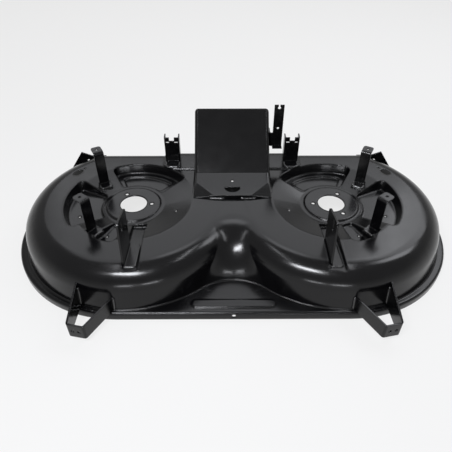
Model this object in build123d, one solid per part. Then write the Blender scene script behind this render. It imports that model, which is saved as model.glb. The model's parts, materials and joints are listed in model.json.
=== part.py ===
from build123d import *
import os
from math import atan2, cos, hypot, radians, sin, sqrt, tan

# Twin-blade rear-discharge mower deck: a pressed steel shell with welded-on sheet brackets.
# While it is modelled, X runs to the right, Y to the rear, Z up; y = 0 is the spindle line
# and z = 0 is the underside of the lip. The last lines put the origin under the part's middle.

# Sheet and press tooling
sheet = 2.5              # shell and tunnel sheet
bracket_sheet = 3.0      # cover posts, hangers
wheel_strap_sheet = 4.0  # wheel bracket straps
overcut = 5.0            # how far cutters run past the metal
same_place = 0.01        # edges this near a plane lie on it
steepest_run = 0.3       # roof edges run at least this much along Y per unit of length

# Spindle seats
spindle_spacing = 495.0
spindle_bore = 66.0
bolt_circle = 90.5
bolt_hole = 9.0
bolts_per_spindle = 3

# Heights above the underside of the lip
lip_height = 20.0        # down-turned lip, the flange lies on top of it
hub_height = 100.0       # spindle pads
pad_step = 4.0           # the pads stand this much above the dish
rim_rise = 15.0          # flat rim above the pads
plateau_rise = 4.0       # rear table above the rim
pocket_drop = 10.0       # pocket floors below the pads
lens_drop = 4.0          # deeper floor behind each spindle, below the pocket floor

# Blade domes, sizes taken from each spindle axis
rim_flat_radius = 212.0
shoulder_radius = 54.0
skirt_draft = 8.0        # degrees from upright
dish_radius = 150.0      # crease where the flat rim turns down into the dish
dish_crease = 24.0
dish_floor_radius = 76.0
hub_pad_radius = 66.0
pad_draft = 20.0

# Lip outline: a stadium cut straight at the back
lip_end_radius = 282.0
lip_end_shift = 10.0     # end arcs are centred this far outboard of the spindles
lip_rear = 246.0
lip_round = 6.0

# Saddle between the domes
saddle_crest = 56.0      # the flat saddle top ends this far in front of the spindle line
saddle_round = 135.0
saddle_draft = 18.0
saddle_half_root = 150.0  # half width of the saddle body at its rear end
saddle_bite = 0.8        # the saddle's sides end this deep in the domes
saddle_drop = 0.5        # its flat top lies this much below the rim
saddle_sections = 12     # from the flange to the top, closer together where it rounds over

# Straight rear wall
rear_shoulder = 187.0    # y where the rim starts to round down
rear_round = 30.0
rear_draft = 10.0
plateau_half = 185.0
plateau_front = 128.0
plateau_setback = 6.0    # the plateau's rear wall stands this much further back

# Pockets of the left dome: inner radius, outer radius, first and last direction at the floor
# (directions are taken from the spindle, and 0 points to the middle of the deck)
rear_pocket = (82.0, 147.0, 38.0, 117.0)
side_pocket = (80.0, 160.0, 154.0, 217.0)
front_pocket = (80.0, 150.0, 243.0, 260.0)
pocket_draft = 17.0
pocket_corner = 8.0
lens = (88.0, 130.0, 48.0, 110.0)

# Channel for the front hanger, parallel to Y and sloping up to the front of the rim
channel_offset = 25.75   # inboard of the spindle
channel_width = 33.0
channel_start = 78.0
channel_end = 240.0      # measured forward from the spindle line
channel_end_drop = 7.5   # floor below the rim at channel_end
channel_slope = 6.5      # degrees

# Small holes in the shell: radius, direction and diameter on the left dome
floor_holes = ((115.0, 342.0, 5.5), (134.0, 197.0, 5.5), (143.0, 255.0, 6.5), (121.0, 247.0, 4.5))
wash_port_radius, wash_port_angle = 199.0, 145.0
wash_port_size = (27.0, 19.0)
wash_screw_hole = 5.0
wash_screw_step = 24.0
lip_hole = 9.0
lip_hole_height = 11.0
bead_length, bead_width, bead_rise = 188.0, 24.0, 4.0
bead_gap = 14.0          # from the lip face to the bead's front edge

# Discharge tunnel
tunnel_width = 195.0
tunnel_front = 2.0
tunnel_front_rise = 8.0  # front edge above the rim
tunnel_knee_y, tunnel_knee_rise = 80.0, 22.0
tunnel_peak_y, tunnel_peak_rise = 205.0, 139.0
tunnel_rear_foot = 198.0
tunnel_bend = 9.0
tunnel_facet = 52.0      # the front corners are bent down over this length
tunnel_hole = 7.0
tunnel_hole_y = 52.0
half_moon_y = 30.0       # straight edge of the half-moon cut-out
half_moon_width = 40.0
half_moon_squash = 0.8
mouth_clearance = 2.0    # deck opening inside the tunnel walls
mouth_front = 62.0
mouth_sill = 45.0

# Cover posts: where the upright stands from the left spindle, its seat above the spindle pad,
# the tab's height above the seat and the direction of the tab
post_width = 25.0
post_bend = 4.0
post_tab = 27.0
post_foot = 22.0
post_hole = 7.0
seat_margin = 2.0        # flat seat round each foot
rear_post_inside, rear_post_angle = 31.4, 137.6    # distance inside the dish crease
rear_post_seat, rear_post_height, rear_post_turn = 5.0, 92.0, 118.0
side_post_inside, side_post_angle = 16.3, 232.4
side_post_seat, side_post_height, side_post_turn = 5.7, 87.3, 143.0

# Rear hangers
rear_hanger_inside = 25.0   # from the plateau's end
rear_hanger_y = 160.0
rear_hanger_width, rear_hanger_depth, rear_hanger_height = 40.0, 22.0, 74.0
rear_hanger_foot = 26.0
rear_hanger_bend = 4.0
rear_hanger_notch, rear_hanger_notch_depth = 13.0, 10.0
rear_hanger_slot = (9.0, 3.5)
rear_hanger_slot_drop = 14.0

# Front hangers: the same left-hand angle piece stands on both domes
front_hanger_sheet = 4.0
front_hanger_back, front_hanger_front = 149.0, 227.0   # from the spindle line along the channel
front_hanger_height = 112.0              # at the front edge, above the channel floor
front_hanger_back_height = 101.0
front_hanger_foot = 26.0
front_hanger_bend = 2.0
front_hanger_round = 10.0
front_hanger_slot = (9.0, 30.0)
front_hanger_slot_at = (200.0, 90.0)     # along the channel, height above its floor
hanger_clearance = 0.3

# Wheel brackets, left hand: x from the left spindle, y from the front or rear edge of the lip
front_strap_height = 37.0
front_strap_end_height = 62.0            # of the outer leg, where it meets the skirt
front_strap_end_inside = 36.0            # behind the front edge of the lip
front_strap_reach = 64.0
front_strap_web = (-95.5, -57.5)
front_strap_web_turn = 8.0               # the web's outer end lies this much further back
front_strap_outer_foot = (-90.5, 141.0)  # x, and distance behind the web
front_strap_inner_foot = (7.5, 111.0)
front_strap_bend = 6.0
front_strap_hole = 7.5
front_strap_hole_pitch = 14.0
rear_strap_rise = 3.0                    # peak above the rim
rear_strap_inset = 34.0                  # from the rear edge of the lip
rear_strap_outer = 57.5                  # inside the widest line of the dome's shoulder
rear_strap_inner = -107.5
rear_strap_arm = 92.0
rear_strap_bend = 8.0
rear_strap_apex, rear_strap_end = -175.5, -147.5
rear_strap_arm_height = 43.0
rear_strap_end_drop = 8.0                # below the rim
rear_strap_hole = 9.0
rear_strap_hole_x, rear_strap_hole_drop = -158.5, 24.0

# Hook bracket on the right tunnel wall
hook_y = 160.0
hook_reach = 34.0
hook_rise = 53.0         # lower edge above the rim
hook_height = 118.0
hook_neck = 39.0         # up to here the plate reaches back to the tunnel wall
hook_width = 25.0
hook_flange = 28.0
hook_lip = 14.0
hook_bend = 3.0
hook_hole = 6.0
hook_hole_height = 53.0
hook_notch = 8.0
hook_notch_drop = 8.0

half_spacing = spindle_spacing / 2
left_spindle = Pos(-half_spacing, 0, 0)
flange_top = lip_height
rim_height = hub_height + rim_rise
plateau_height = rim_height + plateau_rise
dish_floor = hub_height - pad_step
pocket_floor = hub_height - pocket_drop
lens_floor = pocket_floor - lens_drop
tunnel_knee = (tunnel_knee_y, rim_height + tunnel_knee_rise)
tunnel_peak = (tunnel_peak_y, rim_height + tunnel_peak_rise)
rear_hanger_at = (rear_hanger_inside - plateau_half, rear_hanger_y)
saddle_root = plateau_front + overcut   # the saddle body ends inside the plateau


# Points and flat shapes


def polar(radius, angle):
    return Vector(radius * cos(radians(angle)), radius * sin(radians(angle)))


def mirrored(solid):
    return mirror(solid, about=Plane.YZ)


def strip(path, thickness, width, plane, bend):
    """A folded strip: the path is drawn on the plane and the strip is as wide as the extrusion."""
    line = FilletPolyline(*path, radius=bend)
    outline = offset(line, amount=thickness, side=Side.LEFT)
    return extrude(plane * make_face(outline), amount=width / 2, both=True)


# The shell is the outer form less the same form drawn one sheet further in


def wall_reach(start, radius, draft, height, inset):
    """How far out a wall with a rounded shoulder lies at a height, a given distance inside the outer skin."""
    arc = radius - inset
    lean = radians(draft)
    centre = rim_height - radius
    tangent = centre + arc * sin(lean)
    if height >= tangent:
        return start + sqrt(max(0, arc**2 - (height - centre) ** 2))
    return start + arc * cos(lean) + (tangent - height) * tan(lean)


def rounded_wall(start, top, base, radius, draft, inset):
    """Half profile with a flat top, a rounded shoulder that begins at start, and a leaning wall."""
    arc = radius - inset
    centre_height = top - radius
    lean = radians(draft)
    tangent = (start + arc * cos(lean), centre_height + arc * sin(lean))
    middle_turn = (radians(90) + lean) / 2
    middle = (start + arc * cos(middle_turn), centre_height + arc * sin(middle_turn))
    foot = (tangent[0] + (tangent[1] - base) * tan(lean), base)
    return (start, centre_height + arc), middle, tangent, foot


def dome(inset, base):
    top, middle, tangent, foot = rounded_wall(
        rim_flat_radius, rim_height, base, shoulder_radius, skirt_draft, inset
    )
    outline = Polyline((0, top[1]), (0, base), foot, tangent)
    outline += ThreePointArc(tangent, middle, top) + Line(top, (0, top[1]))
    return left_spindle * revolve(Plane.XZ * make_face(outline), Axis.Z)


def rear_form(start, top, half_width, inset, front, base):
    """A block with the flat top, rounded shoulder and leaning wall of the deck's rear."""
    upper, middle, tangent, foot = rounded_wall(start, top, base, rear_round, rear_draft, inset)
    outline = Polyline((front, upper[1]), (front, base), foot, tangent)
    outline += ThreePointArc(tangent, middle, upper) + Line(upper, (front, upper[1]))
    return extrude(Plane.YZ * make_face(outline), amount=half_width, both=True)


def saddle_section(height, inset):
    """Plan of the saddle at one height: a hollow arc that touches both domes."""
    radius = wall_reach(rim_flat_radius, shoulder_radius, skirt_draft, height, inset) - saddle_bite
    crest = wall_reach(saddle_crest, saddle_round, saddle_draft, height + saddle_drop, inset)
    arc = (half_spacing**2 + crest**2 - radius**2) / (2 * (radius - crest))
    centre_y = -(crest + arc)
    reach = radius / hypot(half_spacing, centre_y)
    touch_x = half_spacing * (1 - reach)
    touch_y = centre_y * reach
    outline = ThreePointArc((-touch_x, touch_y), (0, -crest), (touch_x, touch_y))
    outline += Polyline(
        (touch_x, touch_y),
        (saddle_half_root, saddle_root),
        (-saddle_half_root, saddle_root),
        (-touch_x, touch_y),
    )
    return Pos(0, 0, height) * make_face(outline)


def saddle(inset, base):
    top = rim_height - saddle_drop - inset
    turns = [radians(90) * step / saddle_sections for step in range(saddle_sections + 1)]
    return loft([saddle_section(base + (top - base) * sin(turn), inset) for turn in turns])


def lip_plan(inset):
    radius = lip_end_radius - inset
    centre_x = half_spacing + lip_end_shift
    plan = Rectangle(2 * centre_x, 2 * radius)
    plan += Pos(centre_x, 0) * Circle(radius) + Pos(-centre_x, 0) * Circle(radius)
    behind = Pos(0, lip_rear - inset) * Rectangle(
        4 * centre_x, 2 * lip_end_radius, align=(Align.CENTER, Align.MIN)
    )
    return plan - behind


def base_tray(inset, bottom):
    top = flange_top - inset
    tray = Pos(0, 0, bottom) * extrude(lip_plan(inset), amount=top - bottom)
    tray = fillet(tray.faces().sort_by(Axis.Z)[-1].edges(), lip_round - inset)
    bead_y = -lip_end_radius + bead_gap + bead_width / 2
    bead_plan = SlotOverall(bead_length - 2 * inset, bead_width - 2 * inset)
    bead = Pos(0, bead_y, top - overcut) * extrude(bead_plan, amount=bead_rise + overcut)
    return tray + fillet(bead.faces().sort_by(Axis.Z)[-1].edges(), bead_rise - inset / 2)


def dish(inset):
    """Shallow cone pressed down inside the left rim, with a rounded crease."""
    slope = atan2(rim_height - dish_floor, dish_radius - dish_floor_radius)
    roll = dish_crease - inset
    centre = (dish_radius + dish_crease * tan(slope / 2), rim_height - dish_crease)
    crease = [
        (centre[0] - roll * sin(turn), centre[1] + roll * cos(turn)) for turn in (slope, slope / 2, 0)
    ]
    floor = dish_floor - inset
    top = plateau_height + overcut
    foot = (dish_floor_radius + inset * tan(slope / 2), floor)
    outline = Polyline((0, top), (0, floor), foot, crease[0]) + ThreePointArc(*crease)
    outline += Polyline(crease[2], (crease[2][0], top), (0, top))
    return revolve(Plane.XZ * make_face(outline), Axis.Z)


def spindle_pad(inset):
    """Raised round pad under the spindle."""
    root = dish_floor - overcut
    rise = hub_height - inset - root
    spread = rise * tan(radians(pad_draft)) - inset
    return Pos(0, 0, root) * extrude(Circle(hub_pad_radius + spread), amount=rise, taper=pad_draft)


def pie(radius, start, end):
    """A pie slice between two directions."""
    corner = polar(radius, start)
    outline = Line((0, 0), corner) + CenterArc((0, 0), radius, start, end - start)
    outline += Line(polar(radius, end), (0, 0))
    return make_face(outline)


def pocket(shape, floor, inset):
    """A pocket with leaning walls, cut down to a flat floor."""
    inner, outer, start, end = shape
    lean = radians(pocket_draft)
    spread = inset * (1 - sin(lean)) / cos(lean)
    plan = pie(outer, start, end) - Circle(inner)
    plan = fillet(plan.vertices(), pocket_corner)
    if spread:
        plan = offset(plan, amount=spread)
    rise = plateau_height + overcut - floor
    return Pos(0, 0, floor - inset) * extrude(plan, amount=rise, taper=-pocket_draft)


def channel_frame(offset):
    """Place on a channel's floor line beside the spindle: X runs forward along the floor."""
    start_height = rim_height - channel_end_drop - channel_end * tan(radians(channel_slope))
    return Pos(offset, 0, start_height) * Rot(0, 0, -90) * Rot(0, -channel_slope, 0)


def hanger_channel(inset):
    """Flat-bottomed channel from the spindle pad out through the front of the rim."""
    return channel_frame(channel_offset) * Pos(channel_start - inset, 0, -inset) * Box(
        lip_end_radius, channel_width + 2 * inset, plateau_height,
        align=(Align.MIN, Align.CENTER, Align.MIN),
    )


def post_place(inside, angle, seat):
    spot = polar(dish_radius - inside, angle)
    return Pos(spot.X, spot.Y, hub_height + seat)


def post_seat(inside, angle, seat, turn, inset):
    """Flat seat for a post's foot: what to clear away above it and what to fill in below it."""
    place = post_place(inside, angle, seat) * Pos(0, 0, -inset) * Rot(0, 0, turn)
    length = post_foot + bracket_sheet + 2 * seat_margin
    width = post_width + 2 * seat_margin
    centre = Pos(-post_foot / 2, 0, 0)
    upward = (Align.CENTER, Align.CENTER, Align.MIN)
    downward = (Align.CENTER, Align.CENTER, Align.MAX)
    above = Box(length + 2 * inset, width + 2 * inset, rim_rise + overcut, align=upward)
    below = Box(length - 2 * inset, width - 2 * inset, pocket_drop, align=downward)
    return place * centre * above, place * centre * below


def deck_form(inset, base, bottom):
    """The deck's skin as a solid, a given distance inside the outer skin."""
    left_dome = dome(inset, base)
    domes = left_dome + mirrored(left_dome)
    far_front = -2 * lip_end_radius
    domes &= rear_form(rear_shoulder, rim_height, 2 * spindle_spacing, inset, far_front, base)
    plateau_shoulder = rear_shoulder + plateau_setback
    plateau_half_width = plateau_half - inset
    front = plateau_front + inset
    plateau = rear_form(plateau_shoulder, plateau_height, plateau_half_width, inset, front, base)
    form = domes + (saddle(inset, base) + plateau)
    left_dish = left_spindle * dish(inset)
    form = form - left_dish - mirrored(left_dish)
    raised = left_spindle * spindle_pad(inset)
    sunk = left_spindle * hanger_channel(inset)
    for shape in (rear_pocket, side_pocket, front_pocket):
        sunk += left_spindle * pocket(shape, pocket_floor, inset)
    sunk += left_spindle * pocket(lens, lens_floor, inset)
    for seat in (
        post_seat(rear_post_inside, rear_post_angle, rear_post_seat, rear_post_turn, inset),
        post_seat(side_post_inside, side_post_angle, side_post_seat, side_post_turn, inset),
    ):
        sunk += left_spindle * seat[0]
        raised += left_spindle * seat[1]
    form = form - sunk - mirrored(sunk)
    form = form + raised + mirrored(raised)
    return form + base_tray(inset, bottom)


envelope = deck_form(0, flange_top - sheet / 2, 0)
hollow = deck_form(sheet, flange_top - 2 * sheet, -overcut)


def upright_hole(x, y, diameter):
    return Pos(x, y, 0) * Cylinder(diameter / 2, 2 * tunnel_peak[1])


def dome_holes():
    """Holes of the left dome: spindle bore, its bolts, floor holes and the wash port."""
    holes = [Cylinder(spindle_bore / 2, 2 * tunnel_peak[1])]
    for turn in range(bolts_per_spindle):
        spot = polar(bolt_circle / 2, 360 / bolts_per_spindle * turn)
        holes.append(upright_hole(spot.X, spot.Y, bolt_hole))
    for radius, angle, diameter in floor_holes:
        spot = polar(radius, angle)
        holes.append(upright_hole(spot.X, spot.Y, diameter))
    port = polar(wash_port_radius, wash_port_angle)
    slot = Rot(0, 0, wash_port_angle - 90) * SlotOverall(*wash_port_size)
    holes.append(Pos(port.X, port.Y, hub_height) * extrude(slot, amount=rim_height))
    screw = port + polar(wash_screw_step, wash_port_angle - 90)
    holes.append(upright_hole(screw.X, screw.Y, wash_screw_hole))
    return [left_spindle * hole for hole in holes]


def make_deck_shell():
    shell = envelope - hollow
    for hole in dome_holes():
        shell -= hole
        shell -= mirrored(hole)
    mouth_width = tunnel_width - 2 * sheet - 2 * mouth_clearance
    mouth_top = plateau_height + overcut
    shell -= Pos(0, mouth_front, mouth_sill) * Box(
        mouth_width, lip_end_radius, mouth_top - mouth_sill,
        align=(Align.CENTER, Align.MIN, Align.MIN),
    )
    lip_face = Pos(0, -lip_end_radius, lip_hole_height)
    shell -= lip_face * Rot(90, 0, 0) * Cylinder(lip_hole / 2, 4 * lip_round)
    return shell


def make_tunnel():
    """Folded hood: gently rising front panel, steep roof and two side walls, open below and behind."""
    foot = hub_height
    nose = (tunnel_front, rim_height + tunnel_front_rise)
    outline = Polyline(
        (tunnel_front, foot), nose, tunnel_knee, tunnel_peak, (tunnel_rear_foot, foot), close=True
    )
    roof_slope = (tunnel_peak[1] - tunnel_knee[1]) / (tunnel_peak[0] - tunnel_knee[0])
    past = 10 * sheet
    behind = (tunnel_peak[0] + past, tunnel_peak[1] + past * roof_slope)
    room = Polyline(
        (tunnel_front, foot - past), nose, tunnel_knee, behind, (behind[0], foot - past), close=True
    )
    hood = extrude(Plane.YZ * make_face(outline), amount=tunnel_width / 2, both=True)
    space_face = offset(make_face(room), amount=-sheet, kind=Kind.INTERSECTION)
    space = extrude(Plane.YZ * space_face, amount=tunnel_width / 2 - sheet, both=True)

    def roof_edges(solid, half_width):
        edges = [e for e in solid.edges() if abs(abs(e.center().X) - half_width) < same_place]
        return [e for e in edges if abs(e.tangent_at(0.5).Y) > steepest_run and e.center().Z > rim_height]

    hood = fillet(roof_edges(hood, tunnel_width / 2), tunnel_bend)
    space = fillet(roof_edges(space, tunnel_width / 2 - sheet), tunnel_bend - sheet)
    facet = corner_facet(nose)
    hood = hood - facet - mirrored(facet)
    facet_inside = facet.moved(Location(Vector(0, 0, -sheet)))
    space = space - facet_inside - mirrored(facet_inside)
    hood -= space
    hood -= upright_hole(0, tunnel_hole_y, tunnel_hole)
    half_moon = Circle(half_moon_width / 2)
    half_moon -= Rectangle(2 * half_moon_width, half_moon_width, align=(Align.CENTER, Align.MIN))
    half_moon = scale(half_moon, by=(1, half_moon_squash, 1))
    hood -= Pos(0, half_moon_y, rim_height + sheet) * extrude(half_moon, amount=tunnel_peak[1])
    return hood - envelope


def corner_facet(nose):
    """What is taken off the left front corner of the tunnel, so that the panel bends down there."""
    panel_slope = (tunnel_knee[1] - nose[1]) / (tunnel_knee[0] - nose[0])
    side = -tunnel_width / 2
    back = Vector(side, nose[0] + tunnel_facet, nose[1] + tunnel_facet * panel_slope)
    across = Vector(side + tunnel_facet, *nose)
    corner = Vector(side, nose[0], rim_height)
    normal = (across - corner).cross(back - corner).normalized()
    plane = Plane(origin=corner, z_dir=normal)
    above = plane * Box(
        4 * tunnel_facet, 4 * tunnel_facet, tunnel_facet, align=(Align.CENTER, Align.CENTER, Align.MIN)
    )
    in_front = Pos(0, tunnel_knee[0], 0) * Box(
        2 * tunnel_width, 2 * tunnel_width, 4 * tunnel_peak[1], align=(Align.CENTER, Align.MAX, Align.CENTER)
    )
    return above & in_front


def make_post(inside, angle, seat, height, turn):
    """Cover post: a strip with a foot on its seat, an upright and a drilled top tab."""
    path = ((-post_foot, 0), (0, 0), (0, height), (post_tab, height))
    post = strip(path, bracket_sheet, post_width, Plane.XZ, post_bend)
    tab_end = [e for e in post.edges().filter_by(Axis.Z) if e.center().X > post_tab - bracket_sheet]
    post = fillet(tab_end, post_width / 4)
    post -= Pos(post_tab - post_width / 2, 0, height) * Cylinder(post_hole / 2, 4 * bracket_sheet)
    return left_spindle * post_place(inside, angle, seat) * Rot(0, 0, turn) * post


def make_rear_hanger():
    """Upright channel with a notched top and a foot bent forward."""
    x, y = rear_hanger_at
    half = rear_hanger_width / 2
    mid = Plane.XY.offset(rear_hanger_height / 2)
    path = ((-half, rear_hanger_depth), (-half, 0), (half, 0), (half, rear_hanger_depth))
    channel = strip(path, bracket_sheet, rear_hanger_height, mid, rear_hanger_bend)
    low = (Align.CENTER, Align.MAX, Align.MIN)
    foot = Pos(0, bracket_sheet, 0) * Box(
        rear_hanger_width - 2 * rear_hanger_bend, rear_hanger_foot + bracket_sheet, bracket_sheet, align=low
    )
    channel += foot
    notch = Pos(0, 0, rear_hanger_height - rear_hanger_notch_depth) * Box(
        rear_hanger_notch, 4 * bracket_sheet, 2 * rear_hanger_notch_depth,
        align=(Align.CENTER, Align.CENTER, Align.MIN),
    )
    channel -= notch
    for side in (-1, 1):
        slot_x = side * (half / 2 + bracket_sheet / 2)
        channel -= Pos(slot_x, 0, rear_hanger_height - rear_hanger_slot_drop) * Box(
            rear_hanger_slot[0], 4 * bracket_sheet, rear_hanger_slot[1]
        )
    return Pos(x, y, plateau_height) * channel


def make_front_hanger(place):
    """Angle piece in the hanger channel: a slotted blade and a foot on the channel floor."""
    back = front_hanger_back
    front = front_hanger_front
    blade_top = max(front_hanger_height, front_hanger_back_height)
    path = ((0, blade_top), (0, 0), (front_hanger_foot, 0))
    plane = Plane(origin=((back + front) / 2, 0, 0), x_dir=(0, 1, 0), z_dir=(1, 0, 0))
    angle = strip(path, front_hanger_sheet, front - back, plane, front_hanger_bend + front_hanger_sheet)
    trim = Polyline(
        (back - overcut, front_hanger_back_height), (front, front_hanger_height),
        (front + overcut, front_hanger_height), (front + overcut, 2 * blade_top),
        (back - overcut, 2 * blade_top), close=True,
    )
    angle -= extrude(Plane.XZ * make_face(trim), amount=4 * front_hanger_foot, both=True)
    top_corners = [e for e in angle.edges().filter_by(Axis.Y) if e.center().Z > blade_top / 2]
    angle = fillet(top_corners, front_hanger_round)
    slot = Rot(0, 0, 90) * SlotOverall(front_hanger_slot[1], front_hanger_slot[0])
    spot = Pos(front_hanger_slot_at[0], front_hanger_slot_at[1]) * slot
    angle -= extrude(Plane.XZ * spot, amount=4 * front_hanger_sheet, both=True)
    left_edge = -channel_width / 2 + hanger_clearance
    return place * Pos(0, left_edge, 0) * angle


def make_front_strap():
    """Front wheel bracket: one strap folded round a web, welded to the skirt at both ends."""
    front = -lip_end_radius - front_strap_reach
    web_left = Vector(front_strap_web[0], front + front_strap_web_turn)
    web_right = Vector(front_strap_web[1], front)
    path = (
        (front_strap_outer_foot[0], front + front_strap_outer_foot[1]), web_left,
        web_right, (front_strap_inner_foot[0], front + front_strap_inner_foot[1]),
    )
    tall = front_strap_end_height
    strap = strip(path, wheel_strap_sheet, tall, Plane.XY.offset(flange_top + tall / 2), front_strap_bend)
    low = flange_top + front_strap_height
    end_y = front_strap_end_inside - lip_end_radius
    side_view = Polyline(
        (front - overcut, low), (web_left.Y, low), (end_y, flange_top + tall),
        (end_y, rim_height), (front - overcut, rim_height), close=True,
    )
    strap -= extrude(Plane.YZ * make_face(side_view), amount=half_spacing, both=True)
    strap -= Pos(web_right.X, 0, low) * Box(
        half_spacing, 4 * lip_end_radius, rim_height, align=(Align.MIN, Align.CENTER, Align.MIN)
    )
    along = (web_right - web_left).normalized()
    for side in (-1, 1):
        spot = (web_left + web_right) / 2 + along * (side * front_strap_hole_pitch / 2)
        height = flange_top + front_strap_height / 2
        bore = Plane(origin=(spot.X, spot.Y, height), z_dir=along.cross(Vector(0, 0, 1)))
        strap -= bore * Cylinder(front_strap_hole / 2, 6 * wheel_strap_sheet)
    return left_spindle * strap - envelope


def make_rear_strap():
    """Rear wheel bracket: a strap folded round the rear corner, peaked behind the rim."""
    corner = (rear_strap_outer - rim_flat_radius - shoulder_radius, lip_rear - rear_strap_inset)
    path = ((rear_strap_inner, corner[1]), corner, (corner[0], corner[1] - rear_strap_arm))
    peak = rim_height + rear_strap_rise
    height = peak - flange_top
    strap = strip(path, wheel_strap_sheet, height, Plane.XY.offset(flange_top + height / 2), rear_strap_bend)
    outline = Polyline(
        (corner[0] - overcut, flange_top), (corner[0] - overcut, flange_top + rear_strap_arm_height),
        (rear_strap_apex, peak), (rear_strap_end, rim_height - rear_strap_end_drop),
        (0, rim_height - rear_strap_end_drop), (0, flange_top), close=True,
    )
    strap &= extrude(Plane.XZ * make_face(outline), amount=2 * lip_end_radius, both=True)
    bore = Pos(rear_strap_hole_x, corner[1], rim_height - rear_strap_hole_drop) * Rot(90, 0, 0)
    strap -= bore * Cylinder(rear_strap_hole / 2, 6 * wheel_strap_sheet)
    return left_spindle * strap - envelope


def make_hook_bracket():
    """Hook plate beside the tunnel: a flange on the wall, an upright plate and a lip below."""
    wall = tunnel_width / 2
    outer = wall + hook_reach
    path = ((wall, hook_y + hook_flange), (wall, hook_y), (outer, hook_y))
    mid = Plane.XY.offset(hook_height / 2)
    plate = strip(path, bracket_sheet, hook_height, mid, hook_bend + bracket_sheet)
    plate -= Pos(outer - hook_width, hook_y, hook_neck) * Box(
        2 * hook_reach, 4 * hook_flange, 2 * hook_height, align=(Align.MAX, Align.CENTER, Align.MIN)
    )
    plate += Pos(outer, hook_y + bracket_sheet, 0) * Box(
        hook_width, hook_lip + bracket_sheet, bracket_sheet, align=(Align.MAX, Align.MAX, Align.MIN)
    )
    through = Rot(90, 0, 0)
    middle = outer - hook_width / 2
    notch_height = hook_height - hook_notch_drop
    plate -= Pos(middle, hook_y, hook_hole_height) * through * Cylinder(hook_hole / 2, 6 * bracket_sheet)
    plate -= Pos(middle, hook_y, notch_height) * through * Cylinder(hook_notch / 2, 6 * bracket_sheet)
    plate -= Pos(middle, hook_y, notch_height) * Box(
        hook_notch / 2, 6 * bracket_sheet, 2 * hook_notch_drop,
        align=(Align.CENTER, Align.CENTER, Align.MIN),
    )
    return Pos(0, 0, rim_height + hook_rise) * plate


rear_post = make_post(
    rear_post_inside, rear_post_angle, rear_post_seat, rear_post_height, rear_post_turn
)
side_post = make_post(
    side_post_inside, side_post_angle, side_post_seat, side_post_height, side_post_turn
)
rear_hanger = make_rear_hanger()
front_strap = make_front_strap()
rear_strap = make_rear_strap()
left_channel = left_spindle * channel_frame(channel_offset)
right_channel = Pos(half_spacing, 0, 0) * channel_frame(-channel_offset)

nodes = {
    "deck_shell": make_deck_shell(),
    "discharge_tunnel": make_tunnel(),
    "tunnel_hook_bracket": make_hook_bracket(),
    "rear_cover_post_left": rear_post,
    "rear_cover_post_right": mirrored(rear_post),
    "side_cover_post_left": side_post,
    "side_cover_post_right": mirrored(side_post),
    "rear_hanger_left": rear_hanger,
    "rear_hanger_right": mirrored(rear_hanger),
    "front_hanger_left": make_front_hanger(left_channel),
    "front_hanger_right": make_front_hanger(right_channel),
    "front_wheel_bracket_left": front_strap,
    "front_wheel_bracket_right": mirrored(front_strap),
    "rear_wheel_bracket_left": rear_strap,
    "rear_wheel_bracket_right": mirrored(rear_strap),
}

# The origin lies under the middle of the whole part
front = min(solid.bounding_box().min.Y for solid in nodes.values())
rear = max(solid.bounding_box().max.Y for solid in nodes.values())
to_origin = Pos(0, -(front + rear) / 2, 0)

os.makedirs("parts", exist_ok=True)
for name, solid in nodes.items():
    export_step(to_origin * solid, f"parts/{name}.step")
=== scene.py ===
import json
import math

import bpy
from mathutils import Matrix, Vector


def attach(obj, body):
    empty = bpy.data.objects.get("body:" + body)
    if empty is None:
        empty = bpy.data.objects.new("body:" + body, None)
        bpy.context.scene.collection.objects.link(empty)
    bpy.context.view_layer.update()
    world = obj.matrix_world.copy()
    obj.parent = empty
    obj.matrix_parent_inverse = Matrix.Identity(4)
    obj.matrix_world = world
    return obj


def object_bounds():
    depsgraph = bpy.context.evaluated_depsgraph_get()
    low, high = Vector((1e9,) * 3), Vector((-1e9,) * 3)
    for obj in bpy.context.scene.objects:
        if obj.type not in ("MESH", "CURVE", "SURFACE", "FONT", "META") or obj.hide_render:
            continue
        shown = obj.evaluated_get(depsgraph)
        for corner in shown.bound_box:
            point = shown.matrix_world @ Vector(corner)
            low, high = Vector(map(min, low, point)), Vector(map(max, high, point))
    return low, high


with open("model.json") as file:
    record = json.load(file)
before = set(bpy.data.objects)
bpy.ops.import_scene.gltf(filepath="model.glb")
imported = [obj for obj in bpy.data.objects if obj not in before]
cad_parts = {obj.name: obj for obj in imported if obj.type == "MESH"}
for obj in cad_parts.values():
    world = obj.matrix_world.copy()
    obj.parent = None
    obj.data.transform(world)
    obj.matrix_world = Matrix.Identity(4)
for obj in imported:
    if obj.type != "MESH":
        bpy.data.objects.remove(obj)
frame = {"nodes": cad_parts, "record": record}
cadLow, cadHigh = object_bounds()
nodes = frame["nodes"]
mounts = {mount["name"]: Vector(mount["pos_m"]) for mount in frame["record"]["mounts"]}
mm = 0.001
print("deck loaded:", len(nodes), "nodes")


# Black coat: every pressed and welded piece carries the same baked gloss finish
shellCoat = {
    "name": "shellCoat",
    "deep": (0.0012, 0.0012, 0.0015, 1),     # full, even coat
    "thin": (0.0026, 0.0025, 0.0029, 1),     # where the coat drew thin while it baked
    "dust": (0.020, 0.019, 0.019, 1),        # settled shop dust
    "dustShare": 0.08,
    "shine": 0.30,                           # specular level
    "roughLow": 0.16,
    "roughHigh": 0.21,
    "peelSize": 420,                         # orange peel, waves per metre
    "peelDepth": 0.04 * mm,
    "cloudSize": 6.0,
    "edgeRound": 6.2 * mm,                   # pressed edges look this round
}
tunnelCoat = dict(shellCoat, name="tunnelCoat", roughLow=0.14, roughHigh=0.17, cloudSize=9.0,
                  edgeRound=3.0 * mm)
bracketCoat = dict(shellCoat, name="bracketCoat", roughLow=0.16, roughHigh=0.26, cloudSize=26.0,
                   edgeRound=1.0 * mm, dustShare=0.14)
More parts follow.
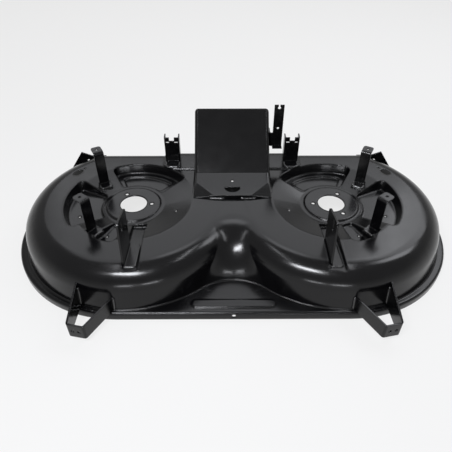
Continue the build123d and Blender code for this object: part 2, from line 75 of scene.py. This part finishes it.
weldCoat = dict(shellCoat, name="weldCoat", roughLow=0.12, roughHigh=0.24, cloudSize=90.0,
                edgeRound=0.4 * mm, peelSize=900, peelDepth=0.3 * mm, shine=0.75)

# how the noises are read, the same in every coat
coatGrain = {
    "cloudDetail": 5,
    "cloudDeep": 0.35,          # noise level of the full coat
    "cloudThin": 0.72,          # and of the thin one
    "speckSize": 240,           # specks per metre
    "speckDetail": 3,
    "speckRough": 0.7,
    "speckFrom": 0.56,
    "speckTo": 0.74,
    "patchFiner": 4,            # gloss patches are this much finer than the clouds
    "patchDetail": 6,
    "patchFrom": 0.3,
    "patchTo": 0.7,
    "edgeSamples": 16,
    "peelDetail": 2,
    "peelStrength": 0.35,
}


def coatMaterial(look):
    material = bpy.data.materials.new(look["name"])
    material.use_nodes = True
    tree = material.node_tree
    shader = tree.nodes["Principled BSDF"]
    shader.inputs["Specular IOR Level"].default_value = look["shine"]
    place = tree.nodes.new("ShaderNodeTexCoord").outputs["Object"]

    # slow clouds where the coat lies thicker or thinner
    clouds = tree.nodes.new("ShaderNodeTexNoise")
    clouds.inputs["Scale"].default_value = look["cloudSize"]
    clouds.inputs["Detail"].default_value = coatGrain["cloudDetail"]
    tree.links.new(place, clouds.inputs["Vector"])
    coat = tree.nodes.new("ShaderNodeValToRGB")
    coat.color_ramp.elements[0].position = coatGrain["cloudDeep"]
    coat.color_ramp.elements[0].color = look["deep"]
    coat.color_ramp.elements[1].position = coatGrain["cloudThin"]
    coat.color_ramp.elements[1].color = look["thin"]
    tree.links.new(clouds.outputs["Fac"], coat.inputs["Fac"])

    # fine dust lies on what faces up
    specks = tree.nodes.new("ShaderNodeTexNoise")
    specks.inputs["Scale"].default_value = coatGrain["speckSize"]
    specks.inputs["Detail"].default_value = coatGrain["speckDetail"]
    specks.inputs["Roughness"].default_value = coatGrain["speckRough"]
    tree.links.new(place, specks.inputs["Vector"])
    speckShare = tree.nodes.new("ShaderNodeMapRange")
    speckShare.inputs["From Min"].default_value = coatGrain["speckFrom"]
    speckShare.inputs["From Max"].default_value = coatGrain["speckTo"]
    speckShare.inputs["To Max"].default_value = look["dustShare"]
    tree.links.new(specks.outputs["Fac"], speckShare.inputs["Value"])
    facing = tree.nodes.new("ShaderNodeSeparateXYZ")
    tree.links.new(tree.nodes.new("ShaderNodeNewGeometry").outputs["Normal"], facing.inputs["Vector"])
    upward = tree.nodes.new("ShaderNodeMath")
    upward.operation = "MULTIPLY"
    upward.use_clamp = True
    tree.links.new(facing.outputs["Z"], upward.inputs[0])
    tree.links.new(speckShare.outputs["Result"], upward.inputs[1])
    dusty = tree.nodes.new("ShaderNodeMix")
    dusty.data_type = "RGBA"
    dusty.inputs["B"].default_value = look["dust"]
    tree.links.new(upward.outputs["Value"], dusty.inputs["Factor"])
    tree.links.new(coat.outputs["Color"], dusty.inputs["A"])
    tree.links.new(dusty.outputs["Result"], shader.inputs["Base Color"])

    # gloss changes from patch to patch
    patches = tree.nodes.new("ShaderNodeTexNoise")
    patches.inputs["Scale"].default_value = look["cloudSize"] * coatGrain["patchFiner"]
    patches.inputs["Detail"].default_value = coatGrain["patchDetail"]
    tree.links.new(place, patches.inputs["Vector"])
    gloss = tree.nodes.new("ShaderNodeMapRange")
    gloss.inputs["From Min"].default_value = coatGrain["patchFrom"]
    gloss.inputs["From Max"].default_value = coatGrain["patchTo"]
    gloss.inputs["To Min"].default_value = look["roughLow"]
    gloss.inputs["To Max"].default_value = look["roughHigh"]
    tree.links.new(patches.outputs["Fac"], gloss.inputs["Value"])
    tree.links.new(gloss.outputs["Result"], shader.inputs["Roughness"])

    # orange peel over softened edges
    softEdge = tree.nodes.new("ShaderNodeBevel")
    softEdge.samples = coatGrain["edgeSamples"]
    softEdge.inputs["Radius"].default_value = look["edgeRound"]
    peel = tree.nodes.new("ShaderNodeTexNoise")
    peel.inputs["Scale"].default_value = look["peelSize"]
    peel.inputs["Detail"].default_value = coatGrain["peelDetail"]
    tree.links.new(place, peel.inputs["Vector"])
    bump = tree.nodes.new("ShaderNodeBump")
    bump.inputs["Strength"].default_value = coatGrain["peelStrength"]
    bump.inputs["Distance"].default_value = look["peelDepth"]
    tree.links.new(peel.outputs["Fac"], bump.inputs["Height"])
    tree.links.new(softEdge.outputs["Normal"], bump.inputs["Normal"])
    tree.links.new(bump.outputs["Normal"], shader.inputs["Normal"])
    return material


coats = {
    "deck_shell": coatMaterial(shellCoat),
    "discharge_tunnel": coatMaterial(tunnelCoat),
}
bracketFinish = coatMaterial(bracketCoat)
weldFinish = coatMaterial(weldCoat)
for name, node in nodes.items():
    node.data.materials.clear()
    node.data.materials.append(coats.get(name, bracketFinish))
print("coats on every node")


# Weld beads: rippled seams at the feet of the welded pieces
weld = {
    "radius": 3.1 * mm,
    "ripple": 5.0 * mm,      # length of one ripple
    "swell": 1.25,           # each ripple is this much fatter than the necks beside it
    "taper": 0.6,            # size of the ends
    "sides": 8,
}


def weldBead(start, end):
    # a ring pushed out along Z, fat and thin by turns, then laid from start to end
    along = Vector(end) - Vector(start)
    ripples = max(2, round(along.length / weld["ripple"]))
    stepLength = along.length / ripples / 2
    bpy.ops.object.select_all(action="DESELECT")
    bpy.ops.mesh.primitive_circle_add(
        vertices=weld["sides"], radius=weld["radius"] * weld["taper"], fill_type="NGON", location=(0, 0, 0)
    )
    bead = bpy.context.object
    bpy.ops.object.mode_set(mode="EDIT")
    bpy.ops.mesh.select_all(action="SELECT")
    sizes = [weld["taper"]]
    for step in range(1, 2 * ripples):
        sizes.append(weld["swell"] if step % 2 else 1.0)
    sizes.append(weld["taper"])
    for before, after in zip(sizes, sizes[1:]):
        bpy.ops.mesh.extrude_region_move(TRANSFORM_OT_translate={"value": (0, 0, stepLength)})
        bpy.ops.transform.resize(value=(after / before, after / before, 1), center_override=(0, 0, 0))
    bpy.ops.mesh.select_all(action="SELECT")
    bpy.ops.mesh.normals_make_consistent(inside=False)
    bpy.ops.mesh.faces_shade_smooth()
    bpy.ops.object.mode_set(mode="OBJECT")
    bead.rotation_euler = along.to_track_quat("Z", "Y").to_euler()
    bead.location = start
    bpy.ops.object.transform_apply(location=True, rotation=True, scale=True)
    return bead


def weldGroup(name, seams):
    beads = [weldBead(start, end) for start, end in seams]
    bpy.ops.object.select_all(action="DESELECT")
    for bead in beads:
        bead.select_set(True)
    bpy.context.view_layer.objects.active = beads[0]
    bpy.ops.object.join()
    group = bpy.context.object
    group.name = name
    group.data.materials.append(weldFinish)
    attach(group, "root")
    print(name, len(seams), "seams")


def span(name):
    points = [vertex.co for vertex in nodes[name].data.vertices]
    low = Vector([min(point[axis] for point in points) for axis in range(3)])
    high = Vector([max(point[axis] for point in points) for axis in range(3)])
    return low, high


def heading(degrees):
    return Vector((math.cos(math.radians(degrees)), math.sin(math.radians(degrees)), 0))


# seams along the tunnel's walls, on the rim and on the higher table behind it
tunnelSeam = {"start": 22 * mm, "tableFront": 126 * mm, "tableRise": 4 * mm, "end": 194 * mm,
              "frontSpots": (20 * mm, 58 * mm)}


def tunnelSeams():
    low, high = span("discharge_tunnel")
    spindleLine = mounts["spindle_seat_left"].y
    front = low.y + tunnelSeam["start"]
    step = spindleLine + tunnelSeam["tableFront"]
    back = spindleLine + tunnelSeam["end"]
    seams = []
    for wall in (low.x, high.x):
        seams.append(((wall, front, low.z), (wall, step - weld["radius"], low.z)))
        table = low.z + tunnelSeam["tableRise"]
        seams.append(((wall, step + 2 * weld["radius"], table), (wall, back, table)))
    inner, outer = tunnelSeam["frontSpots"]
    for side in (-1, 1):
        seams.append(((side * inner, low.y, low.z), (side * outer, low.y, low.z)))
    return seams


weldGroup("tunnelWelds", tunnelSeams())


# seams round the feet of the cover posts
postSeam = {"turn": {"rear": 118, "side": 143}, "footReach": 36.5 * mm, "halfWidth": 12.5 * mm,
            "sideLength": 15 * mm}


def postSeams():
    seams = []
    for post, turn in postSeam["turn"].items():
        for hand, word in ((1, "left"), (-1, "right")):
            ahead = heading(turn)
            ahead.x *= hand
            across = Vector((-ahead.y, ahead.x, 0))
            seat = span(post + "_cover_post_" + word)[0].z
            footEnd = mounts[post + "_cover_screw_" + word] - ahead * postSeam["footReach"]
            footEnd.z = seat
            corners = [footEnd + across * side * postSeam["halfWidth"] for side in (-1, 1)]
            seams.append(corners)
            for corner in corners:
                seams.append((corner, corner + ahead * postSeam["sideLength"]))
    return seams


weldGroup("postWelds", postSeams())


# seams of the hangers: round the rear feet, and along the front feet in their sloping channels
hangerSeam = {"rearFootHalf": 16 * mm, "rearFoot": 26 * mm, "rearGap": 2 * mm,
              "slope": 6.5, "frontFoot": 77.5 * mm, "frontGap": 4 * mm}


def hangerSeams():
    seams = []
    for word in ("left", "right"):
        low, high = span("rear_hanger_" + word)
        middle = (low.x + high.x) / 2
        corners = [
            Vector((middle + side * hangerSeam["rearFootHalf"], low.y, low.z)) for side in (-1, 1)
        ]
        seams.append(corners)
        for corner in corners:
            back = corner + Vector((0, hangerSeam["rearFoot"] - hangerSeam["rearGap"], 0))
            seams.append((corner, back))

        low, high = span("front_hanger_" + word)
        rise = math.tan(math.radians(hangerSeam["slope"]))
        footLength = hangerSeam["frontFoot"]
        frontRight = Vector((high.x, low.y, low.z + rise * footLength))
        backRight = frontRight + Vector((0, 1, -rise)) * (footLength - hangerSeam["frontGap"])
        seams.append((backRight, frontRight))
        seams.append((Vector((low.x, frontRight.y, frontRight.z)), frontRight))
    return seams


weldGroup("hangerWelds", hangerSeams())


# seams of the wheel brackets: up the skirt in front, along the flange behind
skirt = {"footRadius": 272.3 * mm, "footHeight": 20 * mm, "draft": 8.0}
strapSeam = {"outerLeg": (-93.0 * mm, -87.6 * mm), "outerTop": 70 * mm, "innerLeg": -11.6 * mm,
             "innerTop": 55 * mm, "bottom": 23 * mm, "rearArm": 80 * mm, "rearStart": 14 * mm}


def skirtPoint(word, across, height):
    # where the skirt lies in front of a spindle, a distance to the outside of it, at a height
    spindle = mounts["spindle_seat_" + word]
    outward = -1 if word == "right" else 1
    radius = skirt["footRadius"] - (height - skirt["footHeight"]) * math.tan(math.radians(skirt["draft"]))
    return Vector((spindle.x + outward * across, spindle.y - math.sqrt(radius**2 - across**2), height))


def strapSeams():
    seams = []
    for word in ("left", "right"):
        for face in strapSeam["outerLeg"]:
            bottom = skirtPoint(word, face, strapSeam["bottom"])
            seams.append((bottom, skirtPoint(word, face, strapSeam["outerTop"])))
        bottom = skirtPoint(word, strapSeam["innerLeg"], strapSeam["bottom"])
        seams.append((bottom, skirtPoint(word, strapSeam["innerLeg"], strapSeam["innerTop"])))
        low, high = span("rear_wheel_bracket_" + word)
        face = low.x if word == "left" else high.x
        corner = Vector((face, high.y - strapSeam["rearStart"], low.z))
        seams.append((corner, corner - Vector((0, strapSeam["rearArm"] - strapSeam["rearStart"], 0))))
    return seams


weldGroup("wheelBracketWelds", strapSeams())


# seam at the hook plate's flange on the tunnel wall
hookSeam = {"bottom": 4 * mm, "top": 36 * mm}
hookLow, hookHigh = span("tunnel_hook_bracket")
weldGroup("hookWeld", [(
    (hookLow.x, hookHigh.y, hookLow.z + hookSeam["bottom"]),
    (hookLow.x, hookHigh.y, hookLow.z + hookSeam["top"]),
)])


# Studio: pale floor, pale wall and soft boxes
studio = {
    "floorSize": 9.0,
    "floorColour": (0.48, 0.48, 0.48, 1),
    "floorGlow": 0.76,        # share of the floor that looks white whatever falls on it
    "fill": 0.12,             # world light on diffuse surfaces
    "wallLow": 0.78,          # the pale wall where it meets the floor
    "wallHigh": 0.45,         # and overhead
    "wallRise": 0.35,         # height over distance at which it has faded
    "lampTint": (0.94, 0.955, 1.0),
}
softBoxes = {
    "rearBox": {"place": (0.0, 1.62, 1.98), "aim": (0.0, 0.0, 0.36), "size": (2.8, 1.7), "power": 22.5},
    "highRear": {"place": (0.0, 1.05, 2.30), "aim": (0.0, 0.05, 0.1), "size": (0.7, 0.5), "power": 2.5},
    "rearRight": {"place": (1.30, 1.10, 1.50), "aim": (0.2, 0.0, 0.1), "size": (0.9, 0.9), "power": 7.5},
    "rightBox": {"place": (1.50, 0.40, 1.75), "aim": (0.2, 0.0, 0.1), "size": (0.5, 0.8), "power": 8.5},
    "keyBox": {"place": (-0.38, -1.05, 1.50), "aim": (0.0, -0.1, 0.1), "size": (0.70, 0.22), "power": 30},
    "topLeft": {"place": (-0.60, -0.10, 1.60), "aim": (0.0, -0.1, 0.1), "size": (0.8, 0.05), "power": 1.7},
    "topRight": {"place": (0.60, -0.10, 1.60), "aim": (0.0, -0.1, 0.1), "size": (0.8, 0.05), "power": 2.5},
    "lowLeft": {"place": (-0.40, -2.0, 0.20), "aim": (0.0, 0.0, 0.1), "size": (0.5, 0.10), "power": 3.4},
    "lowRight": {"place": (0.40, -2.0, 0.20), "aim": (0.0, 0.0, 0.1), "size": (0.5, 0.10), "power": 3.4},
}


def seenDirectly(tree):
    # 1 for what the camera sees straight, in a mirror or through glass
    path = tree.nodes.new("ShaderNodeLightPath")
    shiny = tree.nodes.new("ShaderNodeMath")
    shiny.operation = "MAXIMUM"
    tree.links.new(path.outputs["Is Glossy Ray"], shiny.inputs[0])
    tree.links.new(path.outputs["Is Transmission Ray"], shiny.inputs[1])
    seen = tree.nodes.new("ShaderNodeMath")
    seen.operation = "MAXIMUM"
    tree.links.new(path.outputs["Is Camera Ray"], seen.inputs[0])
    tree.links.new(shiny.outputs["Value"], seen.inputs[1])
    return seen.outputs["Value"]


def paleFloor():
    bpy.ops.object.select_all(action="DESELECT")
    bpy.ops.mesh.primitive_plane_add(size=studio["floorSize"], location=(0, 0, cadLow.z))
    floor = bpy.context.object
    floor.name = "paleFloor"
    material = bpy.data.materials.new("palePaper")
    material.use_nodes = True
    tree = material.node_tree
    tree.nodes.remove(tree.nodes["Principled BSDF"])
    paper = tree.nodes.new("ShaderNodeBsdfDiffuse")
    paper.inputs["Color"].default_value = studio["floorColour"]
    glow = tree.nodes.new("ShaderNodeEmission")
    share = tree.nodes.new("ShaderNodeMath")
    share.operation = "MULTIPLY"
    share.inputs[1].default_value = studio["floorGlow"]
    tree.links.new(seenDirectly(tree), share.inputs[0])
    both = tree.nodes.new("ShaderNodeMixShader")
    tree.links.new(share.outputs["Value"], both.inputs["Fac"])
    tree.links.new(paper.outputs["BSDF"], both.inputs[1])
    tree.links.new(glow.outputs["Emission"], both.inputs[2])
    tree.links.new(both.outputs["Shader"], tree.nodes["Material Output"].inputs["Surface"])
    floor.data.materials.append(material)


def whiteWorld():
    world = bpy.data.worlds.new("whiteStudio")
    bpy.context.scene.world = world
    world.use_nodes = True
    tree = world.node_tree
    outward = tree.nodes.new("ShaderNodeSeparateXYZ")
    tree.links.new(tree.nodes.new("ShaderNodeTexCoord").outputs["Generated"], outward.inputs["Vector"])
    wall = tree.nodes.new("ShaderNodeMapRange")
    wall.inputs["From Max"].default_value = studio["wallRise"]
    wall.inputs["To Min"].default_value = studio["wallLow"]
    wall.inputs["To Max"].default_value = studio["wallHigh"]
    tree.links.new(outward.outputs["Z"], wall.inputs["Value"])
    level = tree.nodes.new("ShaderNodeMapRange")
    level.inputs["To Min"].default_value = studio["fill"]
    tree.links.new(wall.outputs["Result"], level.inputs["To Max"])
    tree.links.new(seenDirectly(tree), level.inputs["Value"])
    backdrop = tree.nodes["Background"]
    backdrop.inputs["Color"].default_value = (1, 1, 1, 1)
    tree.links.new(level.outputs["Result"], backdrop.inputs["Strength"])


def softBox(name, box):
    lamp = bpy.data.lights.new(name, "AREA")
    lamp.shape = "RECTANGLE"
    lamp.size, lamp.size_y = box["size"]
    lamp.energy = box["power"]
    lamp.color = studio["lampTint"]
    stand = bpy.data.objects.new(name, lamp)
    bpy.context.scene.collection.objects.link(stand)
    stand.location = box["place"]
    stand.rotation_euler = (Vector(box["aim"]) - Vector(box["place"])).to_track_quat("-Z", "Y").to_euler()


paleFloor()
whiteWorld()
for name, box in softBoxes.items():
    softBox(name, box)
print("studio set")


# Camera: in front of the lip and above it, looking down at the spindle pads
cameraSetup = {
    "beforeSpindles": 0.9115,
    "abovePads": 0.7252,
    "halfSheet": 1.25 * mm,    # from the middle of the sheet, where the mounts lie, to the pads' tops
    "sideways": -0.0198,
    "tilt": 48.70,
    "turn": -0.22,
    "lens": 36.956,
    "sensor": 36,
}


def addCamera():
    hubs = (mounts["spindle_seat_left"] + mounts["spindle_seat_right"]) / 2
    camera = bpy.data.cameras.new("deckCamera")
    camera.lens = cameraSetup["lens"]
    camera.sensor_width = cameraSetup["sensor"]
    holder = bpy.data.objects.new("deckCamera", camera)
    bpy.context.scene.collection.objects.link(holder)
    holder.location = (
        hubs.x + cameraSetup["sideways"],
        hubs.y - cameraSetup["beforeSpindles"],
        hubs.z + cameraSetup["abovePads"] + cameraSetup["halfSheet"],
    )
    holder.rotation_euler = (math.radians(cameraSetup["tilt"]), 0, math.radians(cameraSetup["turn"]))
    bpy.context.scene.camera = holder


addCamera()
bpy.context.scene.view_settings.view_transform = "Standard"
print("camera placed")
